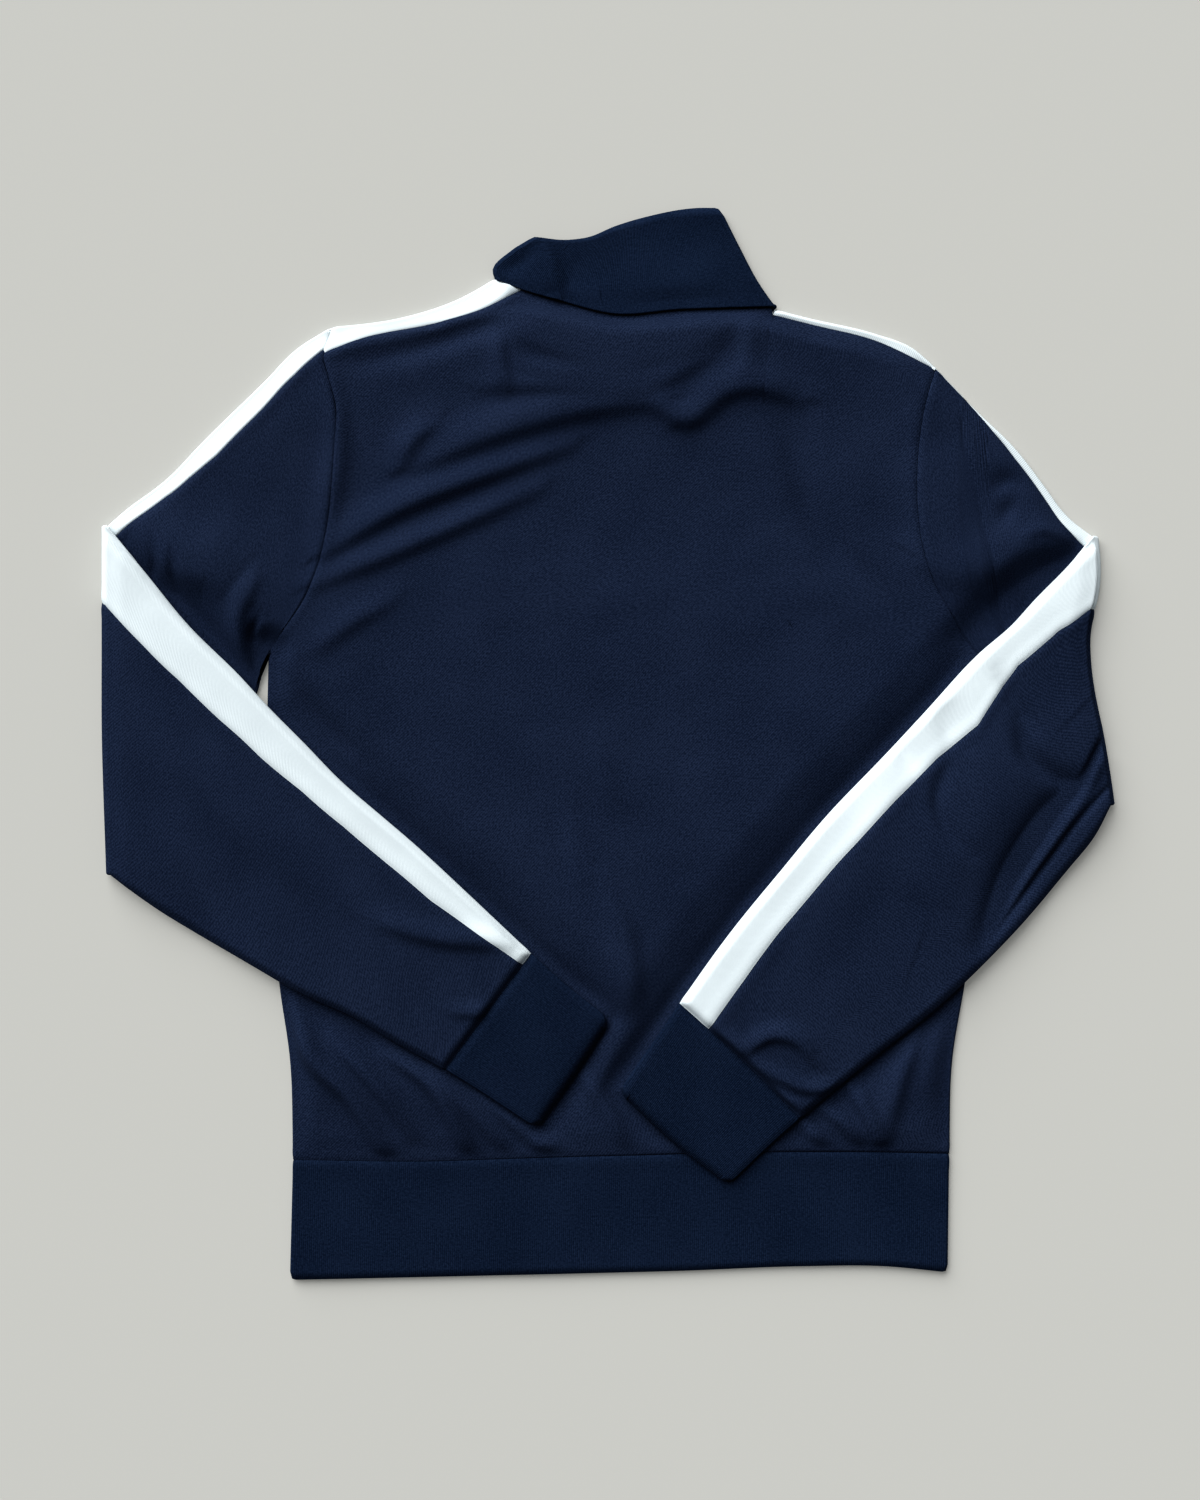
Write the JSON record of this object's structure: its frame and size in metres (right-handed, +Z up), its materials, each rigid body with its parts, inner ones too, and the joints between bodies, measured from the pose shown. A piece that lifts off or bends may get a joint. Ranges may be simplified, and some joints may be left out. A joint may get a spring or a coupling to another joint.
{
  "type": "track jacket",
  "caption": "Knit track jacket laid flat with its back up and both sleeves folded over it at the elbows; rib collar, cuffs and hem, white strips over the shoulders and down the sleeves.",
  "frame": {"origin": "middle of the bounding box on the surface that the jacket lies on", "axes": "+Y from hem to collar, +X across to the wearer's right sleeve, +Z up out of the jacket's back"},
  "size_m": [0.6688, 0.7074, 0.0092],
  "materials": {
    "navy": "matt fine knit",
    "rib": "matt rib knit",
    "white": "matt fine knit",
    "zip": "satin coil zip"
  },
  "bodies": {
    "root": {"back": "navy", "collar": "rib", "hem_rib": "rib", "zip": "zip", "zip_slider": "zip", "front_left": "navy", "shoulder_stripe_left": "white", "sleeve_back_left": "navy", "sleeve_front_left": "navy", "sleeve_stripe_left": "white", "cuff_left": "rib", "front_right": "navy", "shoulder_stripe_right": "white", "sleeve_back_right": "navy", "sleeve_front_right": "navy", "sleeve_stripe_right": "white", "cuff_right": "rib"}
  },
  "joints": []
}
